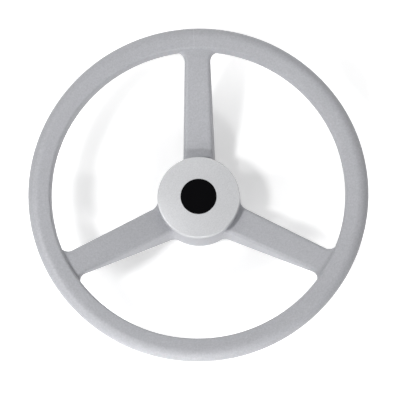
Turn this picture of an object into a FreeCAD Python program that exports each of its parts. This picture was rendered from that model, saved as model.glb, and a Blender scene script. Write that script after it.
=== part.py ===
import FreeCAD, Part
import os
from math import acos, atan2, cos, pi, radians, sin, sqrt, tan

# Dished three-spoke helm wheel for a small boat.
# One moulding carries the rim, the spokes and the hub. A metal insert in the
# hub takes the tapered helm shaft, and a cap with a plain round badge closes
# the hub. The shaft's axis is Z, the hub's back face lies at z = 0, the driver
# looks from +Z, and the twelve o'clock spoke lies on +Y. Millimetres.

Vec = FreeCAD.Vector

# Rim
wheel_dia = 335.0
rim_plane = 71.4            # height of the rim's greatest radius
rim_width = 22.4            # from the greatest radius to the inner wall
rim_outer_round = 8.6
rim_face_round = 3.5        # edge between the face and the inner wall
rim_heel_round = 4.0        # edge between the inner wall and the back
rim_heel_drop = 6.4         # heel's centre below the rim plane
rim_wall_lean = 0.5         # inner wall grows towards the back
rim_face_tilt = 20.0        # the face falls towards the hub

# Spokes
spoke_angles = (90.0, 210.0, 330.0)
spoke_tip_width = 24.8      # across the face where it meets the rim
spoke_draft = 3.5
spoke_edge_round = 3.8
spoke_step = 0.9            # face below the rim plane where it meets the rim
spoke_tip_depth = 5.8
spoke_mid_depth = 19.7
spoke_root_lift = 2.0       # underside above the hub's back face
spoke_rim_fillet = 8.0
spoke_hub_fillet = 12.5
spoke_skin = 3.2
channel_rib = 2.4
channel_rib_set = 1.0       # ribs stand back from the walls' lower edges
channel_cross_ribs = 4
channel_rim_gap = 5.0
channel_hub_gap = 3.0

# Hub
hub_radius = 42.8           # at the back face
hub_draft = 1.6
hub_height = 37.5
hub_back_chamfer = 1.0
hub_wall = 3.9
hub_step = 5.0              # hub's top edge above the spoke's face
web_bottom = 18.0
web_thickness = 4.5
hub_ribs = 12
hub_rib = 2.6
hub_rib_set = 1.0
boss_wall = 3.4

# Insert for the tapered shaft
shaft_dia = 19.05
shaft_taper = 1.0 / 12.0    # on the diameter
taper_standoff = 3.0        # mouth of the bore past the shaft's full diameter
insert_length = 24.5
insert_radius = 14.0
insert_proud = 0.5
collar_flats = 34.0
collar_bottom = 7.0
collar_height = 10.0
insert_chamfer = 0.6
key_width = 4.76
key_depth = 2.4

# Cap and badge
cap_height = 6.0            # outside, from the seam to the front's edge
cap_dome = 2.4
cap_edge_round = 1.3
cap_skin = 2.6
cap_wall = 2.6
cap_inset = 0.1             # cap inside the hub's outline at the seam
seam_chamfer = 0.35
plug_clearance = 0.3
plug_wall = 2.0
plug_length = 7.5
plug_slots = 6
plug_slot = 7.0
cap_ribs = 6
cap_rib = 1.6
cap_rib_height = 1.6
cap_rib_inner = 20.0
badge_dia = 36.2
badge_thickness = 1.1
badge_recess = 1.2
badge_clearance = 0.1
badge_chamfer = 0.3

# Making
join_depth = 0.3            # how far a joined form runs into its neighbour
cut_over = 1.0              # how far a cutter runs past the face it opens

rim_radius = wheel_dia / 2.0
rim_inner = rim_radius - rim_width
shaft_radius = shaft_dia / 2.0


def polar(centre, radius, angle):
    return (centre[0] + radius * cos(angle), centre[1] + radius * sin(angle))


def flat(r, z):
    return Vec(r, 0, z)


def line(a, b):
    return Part.LineSegment(a, b).toShape()


def arc(a, b, c):
    return Part.Arc(a, b, c).toShape()


def spin(points):
    # solid of revolution about Z from a closed outline in (radius, height)
    corners = [flat(r, z) for r, z in points]
    wire = Part.makePolygon(corners + corners[:1])
    return Part.Face(wire).revolve(Vec(0, 0, 0), Vec(0, 0, 1), 360)


def circles_of(shape):
    return [e for e in shape.Edges if not e.Degenerated and e.Curve.TypeId == "Part::GeomCircle"]


def hub_radius_at(z):
    return hub_radius - z * tan(radians(hub_draft))


def tangent_normal(ca, ra, cb, rb):
    # outward normal of the line that touches circle a, then circle b
    dx, dz = cb[0] - ca[0], cb[1] - ca[1]
    return atan2(dz, dx) - acos((ra - rb) / sqrt(dx * dx + dz * dz))


def rim_circles():
    # outer side, face edge and heel: three circles whose hull is the section
    tilt = radians(rim_face_tilt)
    outer = (rim_radius - rim_outer_round, rim_plane)
    heel = (rim_inner + rim_heel_round, rim_plane - rim_heel_drop)
    face_r = rim_inner + rim_wall_lean + rim_face_round
    reach = -sin(tilt) * outer[0] + cos(tilt) * outer[1]
    reach += rim_outer_round - rim_face_round
    face = (face_r, (reach + sin(tilt) * face_r) / cos(tilt))
    return [(outer, rim_outer_round), (face, rim_face_round), (heel, rim_heel_round)]


def make_rim():
    circles = rim_circles()
    count = len(circles)
    normals = []
    for i in range(count):
        ca, ra = circles[i]
        cb, rb = circles[(i + 1) % count]
        normals.append(tangent_normal(ca, ra, cb, rb))
    edges = []
    for i in range(count):
        centre, radius = circles[i]
        start, end = normals[i - 1], normals[i]
        while end < start:
            end += 2 * pi
        while end - start > 2 * pi:
            end -= 2 * pi
        a, m, b = [flat(*polar(centre, radius, t)) for t in (start, (start + end) / 2, end)]
        edges.append(arc(a, m, b))
        nxt, nxt_radius = circles[(i + 1) % count]
        edges.append(line(b, flat(*polar(nxt, nxt_radius, normals[i]))))
    wire = Part.Wire(Part.__sortEdges__(edges))
    return Part.Face(wire).revolve(Vec(0, 0, 0), Vec(0, 0, 1), 360)


def face_height(r):
    # spoke's front face, a straight line from the hub's top to the rim's inner wall
    hub_end = hub_radius_at(hub_height)
    low = hub_height - hub_step
    high = rim_plane - spoke_step
    return low + (high - low) * (r - hub_end) / (rim_inner - hub_end)


def spoke_slope():
    return face_height(1.0) - face_height(0.0)


def half_width(z):
    return spoke_tip_width / 2.0 + (face_height(rim_inner) - z) * tan(radians(spoke_draft))


def spoke_outline(z):
    # plan of the spoke at one height, along +X, flared by an arc at each end
    # into the hub's wall and the rim's inner wall
    half = half_width(z)
    hub_r = hub_radius_at(z) - join_depth
    rim_r = rim_inner + rim_wall_lean + join_depth
    fh, fr = spoke_hub_fillet, spoke_rim_fillet
    ch = Vec(sqrt((hub_r + fh) ** 2 - (half + fh) ** 2), half + fh, z)
    cr = Vec(sqrt((rim_r - fr) ** 2 - (half + fr) ** 2), half + fr, z)
    hub_way = atan2(ch.y, ch.x)
    rim_way = atan2(cr.y, cr.x)

    def at(centre, radius, angle):
        return Vec(centre.x + radius * cos(angle), centre.y + radius * sin(angle), z)

    def swept(centre, radius, start, end):
        return [at(centre, radius, t) for t in (start, (start + end) / 2, end)]

    origin = Vec(0, 0, z)
    hub_arc = swept(ch, fh, hub_way + pi, 1.5 * pi)
    rim_arc = swept(cr, fr, 1.5 * pi, 2 * pi + rim_way)
    inner = at(origin, hub_r - fh, hub_way)
    outer = at(origin, rim_r + fr, rim_way)

    def low(p):
        return Vec(p.x, -p.y, p.z)

    edges = [
        line(inner, hub_arc[0]),
        arc(hub_arc[0], hub_arc[1], hub_arc[2]),
        line(hub_arc[2], rim_arc[0]),
        arc(rim_arc[0], rim_arc[1], rim_arc[2]),
        line(rim_arc[2], outer),
        line(outer, low(outer)),
        line(low(outer), low(rim_arc[2])),
        arc(low(rim_arc[2]), low(rim_arc[1]), low(rim_arc[0])),
        line(low(rim_arc[0]), low(hub_arc[2])),
        arc(low(hub_arc[2]), low(hub_arc[1]), low(hub_arc[0])),
        line(low(hub_arc[0]), low(inner)),
        line(low(inner), inner),
    ]
    return Part.Wire(edges)


def side_slab(edges, reach):
    # a closed outline in the XZ plane made as wide as the spoke
    face = Part.Face(Part.Wire(edges))
    return face.extrude(Vec(0, 2 * reach, 0)).translate(Vec(0, -reach, 0))


def under_points(lift):
    # underside of the spoke: root at the hub, middle, tip at the rim
    root_x = hub_radius + spoke_skin
    tip_x = rim_inner
    mid_x = (root_x + tip_x) / 2.0
    root = Vec(root_x, 0, spoke_root_lift + lift)
    middle = Vec(mid_x, 0, face_height(mid_x) - spoke_mid_depth + lift)
    tip = Vec(tip_x, 0, face_height(tip_x) - spoke_tip_depth + lift)
    return root, middle, tip


def spoke_side(lift, over):
    # outline between the underside, raised by lift, and the face, raised by over
    root, middle, tip = under_points(lift)
    x0 = hub_radius / 2.0
    x1 = rim_inner + rim_width / 2.0
    start = Vec(x0, 0, root.z)
    end = Vec(x1, 0, tip.z + spoke_slope() * (x1 - tip.x))
    edges = [
        line(start, root),
        arc(root, middle, tip),
        line(tip, end),
        line(end, Vec(x1, 0, face_height(x1) + over)),
        line(Vec(x1, 0, face_height(x1) + over), Vec(x0, 0, face_height(x0) + over)),
        line(Vec(x0, 0, face_height(x0) + over), start),
    ]
    return side_slab(edges, spoke_tip_width * 2)


def make_spoke():
    top = rim_plane + rim_outer_round
    tool = Part.makeLoft([spoke_outline(top), spoke_outline(0.0)], True, True)
    body = tool.common(spoke_side(0.0, 0.0)).Solids[0]
    edges = []
    for e in body.Edges:
        ends = [v.Point for v in e.Vertexes]
        middle = e.valueAt((e.FirstParameter + e.LastParameter) / 2)
        on_face = all(abs(p.z - face_height(p.x)) < 0.01 for p in ends + [middle])
        along = all(abs(p.y) > half_width(face_height(rim_inner)) - 1.0 for p in ends + [middle])
        stub = e.Curve.TypeId == "Part::GeomLine" and abs(ends[0].y - ends[1].y) > spoke_edge_round / 2
        if on_face and along and not stub:
            edges.append(e)
    return body.makeFillet(spoke_edge_round, edges)


def make_channel():
    # open back of the spoke, with a rib along it and ribs across it
    x0 = hub_radius + channel_hub_gap
    x1 = rim_inner - channel_rim_gap
    wires = []
    for z in (rim_plane, 0.0):
        half = half_width(z) - spoke_skin
        corners = [Vec(x0, half, z), Vec(x1, half, z), Vec(x1, -half, z), Vec(x0, -half, z)]
        wires.append(Part.makePolygon(corners + corners[:1]))
    tool = Part.makeLoft(wires, True, True)
    sunk = spoke_skin * sqrt(1 + spoke_slope() ** 2)
    low = -cut_over
    skin = [Vec(0, 0, low), Vec(rim_radius, 0, low)]
    skin += [Vec(x, 0, face_height(x) - sunk) for x in (rim_radius, 0.0)]
    edges = [line(skin[i - 1], skin[i]) for i in range(len(skin))]
    tool = tool.common(side_slab(edges, spoke_tip_width * 2))
    wide = spoke_tip_width * 2
    ribs = [Part.makeBox(x1 - x0, channel_rib, rim_plane, Vec(x0, -channel_rib / 2, 0))]
    pitch = (x1 - x0) / (channel_cross_ribs + 1)
    for i in range(channel_cross_ribs):
        x = x0 + pitch * (i + 1) - channel_rib / 2
        ribs.append(Part.makeBox(channel_rib, wide, rim_plane, Vec(x, -wide / 2, 0)))
    ribs = ribs[0].fuse(ribs[1:])
    ribs = ribs.common(spoke_side(channel_rib_set, spoke_skin))
    return tool.cut(ribs)


def make_hub():
    top = hub_radius_at(hub_height)
    shape = spin([(0, 0), (hub_radius, 0), (top, hub_height), (0, hub_height)])
    low = [e for e in circles_of(shape) if e.BoundBox.ZMax < hub_height / 2]
    high = [e for e in circles_of(shape) if e.BoundBox.ZMin > hub_height / 2]
    return shape.makeChamfer(hub_back_chamfer, low).makeChamfer(seam_chamfer, high)


def plug_bore():
    return hub_radius_at(hub_height) - hub_wall


def boss_radius():
    return collar_flats / 2.0 / cos(radians(30)) + boss_wall


def hub_pockets():
    web_top = web_bottom + web_thickness
    boss_top = insert_length - insert_proud
    front = Part.makeCylinder(plug_bore(), hub_height, Vec(0, 0, web_top))
    front = front.cut(Part.makeCylinder(boss_radius(), boss_top - web_top, Vec(0, 0, web_top)))
    wall = hub_radius - hub_wall
    depth = web_bottom + cut_over
    back = Part.makeCone(wall, wall - depth * tan(radians(hub_draft)), depth, Vec(0, 0, -cut_over))
    back = back.cut(Part.makeCylinder(boss_radius(), depth + 2 * cut_over, Vec(0, 0, -2 * cut_over)))
    for i in range(hub_ribs):
        rib = Part.makeBox(hub_radius, hub_rib, web_bottom, Vec(0, -hub_rib / 2, hub_rib_set))
        rib.rotate(Vec(0, 0, 0), Vec(0, 0, 1), 360.0 * (i + 0.5) / hub_ribs)
        back = back.cut(rib)
    return front, back


def insert_body():
    # outside of the insert: a turned body with a six-sided collar that the
    # moulding grips
    body = Part.makeCylinder(insert_radius, insert_length)
    corner = collar_flats / 2.0 / cos(radians(30))
    corners = []
    for i in range(7):
        t = radians(60 * i + 30)
        corners.append(Vec(corner * cos(t), corner * sin(t), collar_bottom))
    collar = Part.Face(Part.makePolygon(corners)).extrude(Vec(0, 0, collar_height))
    return body.fuse(collar).removeSplitter()


def bore_radius(z):
    return shaft_radius - (z + taper_standoff) * shaft_taper / 2.0


def make_insert():
    body = insert_body()
    low, high = -cut_over, insert_length + cut_over
    bore = Part.makeCone(bore_radius(low), bore_radius(high), high - low, Vec(0, 0, low))
    way = [
        Vec(0, 0, low), Vec(0, bore_radius(low) + key_depth, low),
        Vec(0, bore_radius(high) + key_depth, high), Vec(0, 0, high),
    ]
    key = Part.Face(Part.makePolygon(way + way[:1])).extrude(Vec(key_width, 0, 0))
    key.translate(Vec(-key_width / 2, 0, 0))
    mouth_high = insert_chamfer + cut_over
    mouth = Part.makeCone(bore_radius(0) + mouth_high, bore_radius(0), mouth_high, Vec(0, 0, -cut_over))
    seat_edges = [e for e in circles_of(body) if e.BoundBox.ZMin > insert_length - 0.01]
    body = body.makeChamfer(insert_chamfer / 2, seat_edges)
    return body.cut([bore, key, mouth]).removeSplitter().Solids[0]


def make_wheel_body(rim, hub, spoke, channel):
    spokes = []
    channels = []
    for angle in spoke_angles:
        for source, target in ((spoke, spokes), (channel, channels)):
            turned = source.copy()
            turned.rotate(Vec(0, 0, 0), Vec(0, 0, 1), angle)
            target.append(turned)
    body = rim.fuse([hub] + spokes)
    front, back = hub_pockets()
    body = body.cut([front, back] + channels)
    body = body.cut(insert_body())
    return body.removeSplitter().Solids[0]


def cap_radius(z):
    return hub_radius_at(z) - cap_inset


def cap_outline(low, edge):
    # half section of the cap's outside: wall, rounded edge and shallow dome
    r_low, r_edge = cap_radius(low), cap_radius(edge)
    dome = (r_edge ** 2 + cap_dome ** 2) / (2 * cap_dome)
    floor = edge + cap_dome - dome
    lean = radians(hub_draft)
    # centre of the edge's round, which touches the wall and the dome inside
    wall_x = r_edge - cap_edge_round / cos(lean)
    x = wall_x
    for i in range(8):
        y = floor + sqrt((dome - cap_edge_round) ** 2 - x ** 2)
        x = wall_x - (y - edge) * tan(lean)
    start = (x + cap_edge_round * cos(lean), y + cap_edge_round * sin(lean))
    way = atan2(y - floor, x)
    end = (x + cap_edge_round * cos(way), y + cap_edge_round * sin(way))
    middle = polar((x, y), cap_edge_round, (lean + way) / 2)
    crest = polar((0, floor), dome, (way + pi / 2) / 2)
    return [
        line(flat(0, low), flat(r_low, low)),
        line(flat(r_low, low), flat(*start)),
        arc(flat(*start), flat(*middle), flat(*end)),
        arc(flat(*end), flat(*crest), flat(0, floor + dome)),
        line(flat(0, floor + dome), flat(0, low)),
    ]


def make_cap():
    low = hub_height
    edge = hub_height + cap_height
    under = edge - cap_skin
    outline = cap_outline(low, edge)
    cap = Part.Face(Part.Wire(outline)).revolve(Vec(0, 0, 0), Vec(0, 0, 1), 360)
    hollow_r = cap_radius(low) - cap_wall
    cap = cap.cut(Part.makeCylinder(hollow_r, under - low + cut_over, Vec(0, 0, low - cut_over)))
    plug_r = plug_bore() - plug_clearance
    plug_low = Vec(0, 0, low - plug_length)
    plug = Part.makeCylinder(plug_r, plug_length + under - low + join_depth, plug_low)
    plug = plug.cut(Part.makeCylinder(plug_r - plug_wall, plug_length + cap_height, plug_low))
    for i in range(plug_slots):
        slot = Part.makeBox(hub_radius, plug_slot, plug_length, Vec(0, -plug_slot / 2, plug_low.z))
        slot.rotate(Vec(0, 0, 0), Vec(0, 0, 1), 360.0 * (i + 0.5) / plug_slots)
        plug = plug.cut(slot)
    ribs = []
    for i in range(cap_ribs):
        length = plug_r - plug_wall + join_depth - cap_rib_inner
        corner = Vec(cap_rib_inner, -cap_rib / 2, under - cap_rib_height)
        rib = Part.makeBox(length, cap_rib, cap_rib_height + join_depth, corner)
        rib.rotate(Vec(0, 0, 0), Vec(0, 0, 1), 360.0 * i / cap_ribs)
        ribs.append(rib)
    cap = cap.fuse([plug] + ribs)
    seat = Vec(0, 0, edge + cap_dome - badge_recess)
    cap = cap.cut(Part.makeCylinder(badge_dia / 2.0 + badge_clearance, badge_recess + cut_over, seat))
    return cap.removeSplitter().Solids[0]


def make_badge():
    seat = hub_height + cap_height + cap_dome - badge_recess
    disc = Part.makeCylinder(badge_dia / 2.0, badge_thickness, Vec(0, 0, seat))
    top = [e for e in circles_of(disc) if e.BoundBox.ZMin > seat + badge_thickness / 2]
    return disc.makeChamfer(badge_chamfer, top).Solids[0]


def main():
    nodes = {
        "wheel_body": make_wheel_body(make_rim(), make_hub(), make_spoke(), make_channel()),
        "taper_insert": make_insert(),
        "centre_cap": make_cap(),
        "cap_badge": make_badge(),
    }
    os.makedirs("parts", exist_ok=True)
    for name, shape in nodes.items():
        box = shape.BoundBox
        print(name, shape.isValid(), shape.ShapeType, len(shape.Faces), round(shape.Volume, 1),
              [round(v, 2) for v in (box.XMin, box.XMax, box.YMin, box.YMax, box.ZMin, box.ZMax)])
        shape.exportStep("parts/" + name + ".step")


main()
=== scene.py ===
from math import cos, radians, sin

import bpy
from mathutils import Matrix, Vector


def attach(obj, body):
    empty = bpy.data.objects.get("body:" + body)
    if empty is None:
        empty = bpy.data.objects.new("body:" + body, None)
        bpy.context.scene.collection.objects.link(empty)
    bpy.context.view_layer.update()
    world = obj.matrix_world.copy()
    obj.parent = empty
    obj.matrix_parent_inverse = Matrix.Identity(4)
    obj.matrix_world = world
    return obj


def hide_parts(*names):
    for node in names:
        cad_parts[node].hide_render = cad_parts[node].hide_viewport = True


# A dished helm wheel in grey moulded plastic. It lies on the back of its hub,
# with the cap and its bare black badge upwards. Metres, in the CAD's frame.

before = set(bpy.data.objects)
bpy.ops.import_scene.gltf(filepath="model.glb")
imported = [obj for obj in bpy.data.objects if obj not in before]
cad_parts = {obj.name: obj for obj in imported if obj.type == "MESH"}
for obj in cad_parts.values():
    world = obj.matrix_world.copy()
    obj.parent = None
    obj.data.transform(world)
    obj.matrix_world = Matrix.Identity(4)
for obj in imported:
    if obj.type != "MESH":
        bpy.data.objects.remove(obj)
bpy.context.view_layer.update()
scene = bpy.context.scene
print("frame loaded:", sorted(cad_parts))


# camera

cameraView = {
    "aim": (0.00198, -0.00927, 0.0714),  # a point in the rim's plane
    "distance": 1.298,
    "tilt": 12.03,  # degrees from straight above, towards six o'clock
    "swing": 5.64,  # degrees round the axis, to the right
    "roll": -0.34,
    "lens": 118.82,
    "reach": 10.0,  # nothing past this distance is drawn
}


def placeCamera(view):
    tilt, swing = radians(view["tilt"]), radians(view["swing"])
    back = Vector((sin(tilt) * sin(swing), -sin(tilt) * cos(swing), cos(tilt)))
    right = Vector((0, 1, 0)).cross(back).normalized()
    up = back.cross(right)
    turn = Matrix((right, up, back)).transposed().to_4x4()
    camera = bpy.data.objects.new("camera", bpy.data.cameras.new("camera"))
    camera.data.lens = view["lens"]
    camera.data.clip_end = view["reach"]
    place = Matrix.Translation(Vector(view["aim"]) + back * view["distance"])
    camera.matrix_world = place @ turn @ Matrix.Rotation(radians(view["roll"]), 4, "Z")
    scene.collection.objects.link(camera)
    scene.camera = camera


placeCamera(cameraView)
print("camera placed")


# shader groups, each made once and used by several finishes

def newGroup(name, inputs, outputs):
    # inputs: name -> default number; outputs: names; all sockets are floats
    group = bpy.data.node_groups.new(name, "ShaderNodeTree")
    for label, value in inputs.items():
        socket = group.interface.new_socket(
            label, in_out="INPUT", socket_type="NodeSocketFloat")
        socket.default_value = value
    for label in outputs:
        group.interface.new_socket(
            label, in_out="OUTPUT", socket_type="NodeSocketFloat")
    start = group.nodes.new("NodeGroupInput")
    end = group.nodes.new("NodeGroupOutput")
    return group, start.outputs, end.inputs


def addNode(tree, kind, **settings):
    node = tree.nodes.new(kind)
    for name, value in settings.items():
        setattr(node, name, value)
    return node


def join(tree, source, target):
    # source may be a socket or a plain value
    if isinstance(source, bpy.types.NodeSocket):
        tree.links.new(source, target)
    else:
        target.default_value = source


def mathNode(tree, operation, a, b=None, clamp=False):
    node = addNode(tree, "ShaderNodeMath", operation=operation, use_clamp=clamp)
    join(tree, a, node.inputs[0])
    if b is not None:
        join(tree, b, node.inputs[1])
    return node.outputs[0]


def noiseNode(tree, vector, scale, detail, roughness=0.5):
    node = addNode(tree, "ShaderNodeTexNoise")
    join(tree, vector, node.inputs["Vector"])
    join(tree, scale, node.inputs["Scale"])
    node.inputs["Detail"].default_value = detail
    node.inputs["Roughness"].default_value = roughness
    return node.outputs["Fac"]


def tintNode(tree, colour, shade):
    # colour times a shade that changes over the surface
    node = addNode(tree, "ShaderNodeMix", data_type="RGBA", blend_type="MULTIPLY")
    node.inputs[0].default_value = 1.0
    join(tree, colour, node.inputs[6])
    join(tree, shade, node.inputs[7])
    return node.outputs[2]


def objectSpot(tree):
    return addNode(tree, "ShaderNodeTexCoord").outputs["Object"]


def mixPatterns(tree, first, second, firstShare):
    firstPart = mathNode(tree, "MULTIPLY", first, firstShare)
    secondPart = mathNode(tree, "MULTIPLY", second, 1.0 - firstShare)
    return mathNode(tree, "ADD", firstPart, secondPart)


def swingOf(tree, pattern, amount):
    # how far a 0 to 1 pattern is from its middle, times an amount
    return mathNode(tree, "MULTIPLY", mathNode(tree, "SUBTRACT", pattern, 0.5), amount)


grainMake = {"coarseShare": 0.65, "coarseDetail": 2.0, "fineDetail": 1.0}


def mouldGrain(make):
    # fine spark-eroded grain of a mould's face: height, and a slight change of tone
    tree, given, made = newGroup(
        "mould grain",
        {"Grain Scale": 900.0, "Fine Scale": 2600.0, "Tone": 0.05},
        ("Height", "Shade"),
    )
    spot = objectSpot(tree)
    coarse = noiseNode(tree, spot, given["Grain Scale"], make["coarseDetail"])
    fine = noiseNode(tree, spot, given["Fine Scale"], make["fineDetail"])
    both = mixPatterns(tree, coarse, fine, make["coarseShare"])
    join(tree, both, made["Height"])
    tone = swingOf(tree, both, given["Tone"])
    join(tree, mathNode(tree, "ADD", tone, 1.0), made["Shade"])
    return tree


mottleMake = {
    "cloudShare": 0.6,
    "cloudDetail": 3.0,
    "cloudRoughness": 0.6,
    "patchFiner": 5.0,  # patches are this much finer than the clouds
    "patchDetail": 2.0,
}


def flowMottle(make):
    # slow clouds left by the plastic's flow: a tone and a change of gloss
    tree, given, made = newGroup(
        "flow mottle",
        {"Cloud Scale": 45.0, "Tone": 0.04, "Gloss": 0.06},
        ("Shade", "Gloss Shift"),
    )
    spot = objectSpot(tree)
    patchScale = mathNode(tree, "MULTIPLY", given["Cloud Scale"], make["patchFiner"])
    cloud = noiseNode(
        tree, spot, given["Cloud Scale"], make["cloudDetail"], make["cloudRoughness"])
    patch = noiseNode(tree, spot, patchScale, make["patchDetail"])
    both = mixPatterns(tree, cloud, patch, make["cloudShare"])
    tone = swingOf(tree, both, given["Tone"])
    join(tree, mathNode(tree, "ADD", tone, 1.0), made["Shade"])
    join(tree, swingOf(tree, both, given["Gloss"]), made["Gloss Shift"])
    return tree


grainGroup = mouldGrain(grainMake)
mottleGroup = flowMottle(mottleMake)


def useGroup(tree, group, values):
    node = addNode(tree, "ShaderNodeGroup", node_tree=group)
    for label, value in values.items():
        node.inputs[label].default_value = value
    return node.outputs


def newMaterial(name, roughness, specular=0.5, metallic=0.0):
    material = bpy.data.materials.new(name)
    material.use_nodes = True
    shader = material.node_tree.nodes["Principled BSDF"]
    shader.inputs["Roughness"].default_value = roughness
    shader.inputs["Specular IOR Level"].default_value = specular
    shader.inputs["Metallic"].default_value = metallic
    return material, material.node_tree, shader


def surfacePatterns(tree, look):
    # the outputs of both groups, and their shades multiplied
    grain = useGroup(tree, grainGroup, look["grain"])
    mottle = useGroup(tree, mottleGroup, look["mottle"])
    shade = mathNode(tree, "MULTIPLY", grain["Shade"], mottle["Shade"])
    return grain, mottle, shade


def dress(tree, shader, look, shade, mottle, height, depth):
    colour = tintNode(tree, (*look["colour"], 1), shade)
    join(tree, colour, shader.inputs["Base Color"])
    rough = mathNode(tree, "ADD", mottle["Gloss Shift"], look["roughness"])
    join(tree, rough, shader.inputs["Roughness"])
    bump = addNode(tree, "ShaderNodeBump")
    bump.inputs["Strength"].default_value = 1.0
    bump.inputs["Distance"].default_value = depth
    join(tree, height, bump.inputs["Height"])
    join(tree, bump.outputs["Normal"], shader.inputs["Normal"])


# the wheel's moulding

mouldingLook = {
    "colour": (0.442, 0.447, 0.473),
    "roughness": 0.52,
    "grain": {"Grain Scale": 620.0, "Fine Scale": 2000.0, "Tone": 0.60},
    "mottle": {"Cloud Scale": 42.0, "Tone": 0.10, "Gloss": 0.10},
    "grainDepth": 0.00005,
    "knitPlace": -0.0035,  # x of the knit line across the rim at twelve o'clock
    "knitStart": 0.1455,  # y where it starts on the rim's face
    "knitWidth": 0.0006,
    "knitTone": 0.2,
    "knitDepth": 1.5,  # in grain depths
    "knitWaver": 0.006,  # how far the line wanders sideways
    "waverScale": 60.0,
    "waverDetail": 1.0,
    "partingHeight": 0.0714,  # z of the rim's greatest radius
    "partingWidth": 0.00022,
    "partingTone": 0.06,
    "partingRadius": 0.164,  # only outside this radius
}


def band(tree, value, place, width):
    # 1 on a line, falling to 0 one width away from it
    away = mathNode(tree, "ABSOLUTE", mathNode(tree, "SUBTRACT", value, place))
    share = mathNode(tree, "DIVIDE", away, width)
    return mathNode(tree, "SUBTRACT", 1.0, share, clamp=True)


def knitLine(tree, spot, axes, look):
    # where the two fronts of plastic met: a wavering line across the rim
    noise = noiseNode(tree, spot, look["waverScale"], look["waverDetail"])
    waver = swingOf(tree, noise, look["knitWaver"])
    across = mathNode(tree, "ADD", axes["X"], waver)
    line = band(tree, across, look["knitPlace"], look["knitWidth"])
    onFace = mathNode(tree, "GREATER_THAN", axes["Y"], look["knitStart"])
    return mathNode(tree, "MULTIPLY", line, onFace)


def partingLine(tree, axes, look):
    # where the mould's halves met, on the rim's outer side only
    level = addNode(tree, "ShaderNodeCombineXYZ")
    join(tree, axes["X"], level.inputs["X"])
    join(tree, axes["Y"], level.inputs["Y"])
    away = addNode(tree, "ShaderNodeVectorMath", operation="LENGTH")
    join(tree, level.outputs[0], away.inputs[0])
    onRim = mathNode(
        tree, "GREATER_THAN", away.outputs["Value"], look["partingRadius"])
    line = band(tree, axes["Z"], look["partingHeight"], look["partingWidth"])
    return mathNode(tree, "MULTIPLY", line, onRim)


def moulding(look):
    material, tree, shader = newMaterial("moulded grey plastic", look["roughness"])
    grain, mottle, shade = surfacePatterns(tree, look)
    spot = objectSpot(tree)
    axes = addNode(tree, "ShaderNodeSeparateXYZ")
    join(tree, spot, axes.inputs[0])
    knit = knitLine(tree, spot, axes.outputs, look)
    parting = partingLine(tree, axes.outputs, look)
    knitShade = mathNode(tree, "MULTIPLY", knit, look["knitTone"])
    partingShade = mathNode(tree, "MULTIPLY", parting, look["partingTone"])
    shade = mathNode(tree, "ADD", shade, knitShade)
    shade = mathNode(tree, "SUBTRACT", shade, partingShade)
    knitDip = mathNode(tree, "MULTIPLY", knit, look["knitDepth"])
    height = mathNode(tree, "SUBTRACT", grain["Height"], knitDip)
    height = mathNode(tree, "ADD", height, parting)
    dress(tree, shader, look, shade, mottle, height, look["grainDepth"])
    return material


# the cap, lighter and more satin than the wheel

capLook = {
    "colour": (0.572, 0.577, 0.592),
    "roughness": 0.42,
    "metallic": 0.25,
    "grain": {"Grain Scale": 800.0, "Fine Scale": 2200.0, "Tone": 0.50},
    "mottle": {"Cloud Scale": 60.0, "Tone": 0.06, "Gloss": 0.12},
    "grainDepth": 0.00003,
}


def satinCap(look):
    material, tree, shader = newMaterial(
        "satin grey cap", look["roughness"], metallic=look["metallic"])
    grain, mottle, shade = surfacePatterns(tree, look)
    dress(tree, shader, look, shade, mottle, grain["Height"], look["grainDepth"])
    return material


# the badge, left bare

badgeLook = {
    "colour": (0.0025, 0.0025, 0.003),
    "roughness": 0.3,
    "specular": 0.02,
    "grain": {"Grain Scale": 1500.0, "Fine Scale": 3600.0, "Tone": 0.6},
    "mottle": {"Cloud Scale": 80.0, "Tone": 0.3, "Gloss": 0.10},
    "grainDepth": 0.00001,
}


def blackBadge(look):
    material, tree, shader = newMaterial(
        "black badge", look["roughness"], look["specular"])
    grain, mottle, shade = surfacePatterns(tree, look)
    dress(tree, shader, look, shade, mottle, grain["Height"], look["grainDepth"])
    return material


# the turned insert for the shaft

insertLook = {
    "colour": (0.58, 0.57, 0.55),
    "roughness": 0.34,
    "grain": {"Grain Scale": 1200.0, "Fine Scale": 3200.0, "Tone": 0.15},
    "mottle": {"Cloud Scale": 120.0, "Tone": 0.20, "Gloss": 0.20},
    "ringScale": 166.667,  # rings about 1.9 mm apart
    "ringWaver": 0.4,
    "turnDepth": 0.000012,
}


def turnedMetal(look):
    material, tree, shader = newMaterial("turned metal", look["roughness"], metallic=1.0)
    rings = addNode(tree, "ShaderNodeTexWave", wave_type="RINGS", rings_direction="Z")
    join(tree, objectSpot(tree), rings.inputs["Vector"])
    rings.inputs["Scale"].default_value = look["ringScale"]
    rings.inputs["Distortion"].default_value = look["ringWaver"]
    grain, mottle, shade = surfacePatterns(tree, look)
    dress(tree, shader, look, shade, mottle, rings.outputs["Fac"], look["turnDepth"])
    return material


mouldedGrey = moulding(mouldingLook)
capGrey = satinCap(capLook)
badgeBlack = blackBadge(badgeLook)
insertMetal = turnedMetal(insertLook)
print("finishes made")


# the CAD's loose triangles, welded and shaded smooth

softening = {
    "Weld Distance": 0.00002,
    "Smooth Angle": radians(24),  # a sharper bend stays an edge
}


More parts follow.
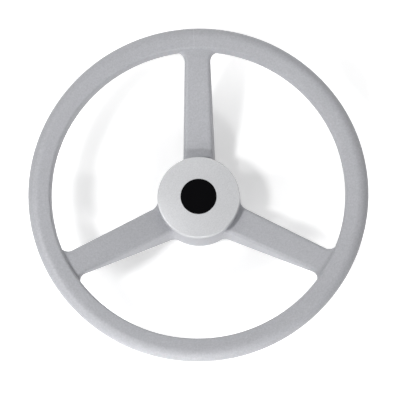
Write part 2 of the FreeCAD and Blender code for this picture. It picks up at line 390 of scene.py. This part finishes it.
def softenTree(sizes):
    tree = bpy.data.node_groups.new("softened moulding", "GeometryNodeTree")
    face = tree.interface
    face.new_socket("Geometry", in_out="INPUT", socket_type="NodeSocketGeometry")
    for label, value in sizes.items():
        socket = face.new_socket(label, in_out="INPUT", socket_type="NodeSocketFloat")
        socket.default_value = value
    face.new_socket("Finish", in_out="INPUT", socket_type="NodeSocketMaterial")
    face.new_socket("Geometry", in_out="OUTPUT", socket_type="NodeSocketGeometry")
    nodes, links = tree.nodes, tree.links
    start = nodes.new("NodeGroupInput")
    weld = nodes.new("GeometryNodeMergeByDistance")
    angle = nodes.new("GeometryNodeInputMeshEdgeAngle")
    soft = nodes.new("FunctionNodeCompare")
    soft.operation = "LESS_THAN"
    faces = nodes.new("GeometryNodeSetShadeSmooth")
    faces.domain = "FACE"
    edges = nodes.new("GeometryNodeSetShadeSmooth")
    edges.domain = "EDGE"
    real = nodes.new("GeometryNodeRealizeInstances")
    finish = nodes.new("GeometryNodeSetMaterial")
    end = nodes.new("NodeGroupOutput")
    links.new(start.outputs["Geometry"], weld.inputs["Geometry"])
    links.new(start.outputs["Weld Distance"], weld.inputs["Distance"])
    links.new(angle.outputs["Unsigned Angle"], soft.inputs[0])
    links.new(start.outputs["Smooth Angle"], soft.inputs[1])
    links.new(weld.outputs["Geometry"], faces.inputs["Geometry"])
    links.new(faces.outputs["Geometry"], edges.inputs["Geometry"])
    links.new(soft.outputs["Result"], edges.inputs["Shade Smooth"])
    links.new(edges.outputs["Geometry"], real.inputs["Geometry"])
    links.new(real.outputs["Geometry"], finish.inputs["Geometry"])
    links.new(start.outputs["Finish"], finish.inputs["Material"])
    links.new(finish.outputs["Geometry"], end.inputs["Geometry"])
    return tree


def applyTree(piece, tree, values):
    modifier = piece.modifiers.new(tree.name, "NODES")
    modifier.node_group = tree
    # an input is set by its socket's identifier, not its name
    sockets = {}
    for socket in tree.interface.items_tree:
        if socket.in_out == "INPUT":
            sockets[socket.name] = socket.identifier
    for label, value in values.items():
        modifier[sockets[label]] = value
    weighted = piece.modifiers.new("weighted normals", "WEIGHTED_NORMAL")
    weighted.keep_sharp = True
    graph = bpy.context.evaluated_depsgraph_get()
    mesh = bpy.data.meshes.new_from_object(piece.evaluated_get(graph), depsgraph=graph)
    piece.modifiers.clear()
    piece.data = mesh
    mesh.name = piece.name


softened = softenTree(softening)


def softCopy(node, name, body, finish):
    piece = bpy.data.objects.new(name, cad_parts[node].data.copy())
    scene.collection.objects.link(piece)
    applyTree(piece, softened, {"Finish": finish})
    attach(piece, body)
    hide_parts(node)


softCopy("wheel_body", "wheelMoulding", "wheel", mouldedGrey)
softCopy("taper_insert", "shaftInsert", "wheel", insertMetal)
softCopy("centre_cap", "frontCap", "cap", capGrey)
softCopy("cap_badge", "roundBadge", "cap", badgeBlack)
print("pieces made")


# floor, backdrop colour and lamps

studio = {
    "floorSize": 6.0,
    "floorColour": 0.9,
    "floorRoughness": 0.9,
    "floorSpecular": 0.1,
    "floorGlow": 0.345,  # added only where the camera or a reflection sees the floor
    "shadowWashStart": 0.05,  # from this radius a painted glow grows to 1, washing out the shadows further out
    "shadowWashLength": 0.42,
    "worldStrength": 0.03,
    "aim": (0, 0, 0.05),
    "lamps": {  # azimuth and height in degrees, metres away, metres across, watts
        "front": (275, 34, 0.9, 0.1, 2.3),
        "left": (196, 54, 0.9, 0.16, 3.7),
        "frontLeft": (225, 40, 0.7, 0.3, 0.3),
        "lowFront": (258, 9, 1.0, 0.6, 4.8),
        "right": (20, 45, 0.9, 0.5, 0.5),
        "lowRight": (20, 18, 1.3, 1.2, 3.4),
        "back": (115, 22, 1.3, 0.8, 3.4),
        "highBack": (90, 40, 0.7, 0.4, 0.6),
    },
}


def seenMask(tree):
    # 1 for camera, mirror and glass rays, 0 for the light that falls on the part
    ray = addNode(tree, "ShaderNodeLightPath").outputs
    seen = mathNode(tree, "ADD", ray["Is Camera Ray"], ray["Is Glossy Ray"], clamp=True)
    return mathNode(tree, "ADD", seen, ray["Is Transmission Ray"], clamp=True)


def makeFloor(settings):
    half = settings["floorSize"] / 2
    mesh = bpy.data.meshes.new("floor")
    points = [(-half, -half, 0), (half, -half, 0), (half, half, 0), (-half, half, 0)]
    mesh.from_pydata(points, [], [(0, 1, 2, 3)])
    floor = bpy.data.objects.new("floor", mesh)
    scene.collection.objects.link(floor)
    material, tree, shader = newMaterial(
        "pale floor", settings["floorRoughness"], settings["floorSpecular"])
    shader.inputs["Base Color"].default_value = (*[settings["floorColour"]] * 3, 1)
    # painted light: the glow grows outwards from the hub and washes out the shadows
    # there, where the lamps also fade, so the floor stays white
    away = addNode(tree, "ShaderNodeVectorMath", operation="LENGTH")
    join(tree, objectSpot(tree), away.inputs[0])
    shadowWash = mathNode(tree, "SUBTRACT", away.outputs["Value"], settings["shadowWashStart"])
    shadowWash = mathNode(tree, "DIVIDE", shadowWash, settings["shadowWashLength"], clamp=True)
    level = mathNode(tree, "MULTIPLY", shadowWash, 1.0 - settings["floorGlow"])
    level = mathNode(tree, "ADD", level, settings["floorGlow"])
    glow = addNode(tree, "ShaderNodeEmission")
    join(tree, mathNode(tree, "MULTIPLY", seenMask(tree), level), glow.inputs["Strength"])
    both = addNode(tree, "ShaderNodeAddShader")
    tree.links.new(shader.outputs[0], both.inputs[0])
    tree.links.new(glow.outputs[0], both.inputs[1])
    tree.links.new(both.outputs[0], tree.nodes["Material Output"].inputs["Surface"])
    mesh.materials.append(material)


def lightWorld(settings):
    world = bpy.data.worlds.new("studio")
    world.use_nodes = True
    scene.world = world
    tree = world.node_tree
    light = tree.nodes["Background"]
    light.inputs["Color"].default_value = (1, 1, 1, 1)
    light.inputs["Strength"].default_value = settings["worldStrength"]
    seen = addNode(tree, "ShaderNodeBackground")
    seen.inputs["Color"].default_value = (1, 1, 1, 1)
    mix = addNode(tree, "ShaderNodeMixShader")
    tree.links.new(seenMask(tree), mix.inputs[0])
    tree.links.new(light.outputs[0], mix.inputs[1])
    tree.links.new(seen.outputs[0], mix.inputs[2])
    tree.links.new(mix.outputs[0], tree.nodes["World Output"].inputs["Surface"])


def addLamp(name, aim, azimuth, height, distance, size, power):
    lamp = bpy.data.lights.new(name, "AREA")
    lamp.shape = "DISK"
    lamp.size = size
    lamp.energy = power
    holder = bpy.data.objects.new(name, lamp)
    way, rise = radians(azimuth), radians(height)
    out = Vector((cos(rise) * cos(way), cos(rise) * sin(way), sin(rise)))
    holder.location = Vector(aim) + out * distance
    holder.rotation_euler = (-out).to_track_quat("-Z", "Y").to_euler()
    scene.collection.objects.link(holder)


makeFloor(studio)
lightWorld(studio)
for lampName, lampValues in studio["lamps"].items():
    addLamp(lampName, studio["aim"], *lampValues)
scene.view_settings.view_transform = "Standard"
print("studio lit")
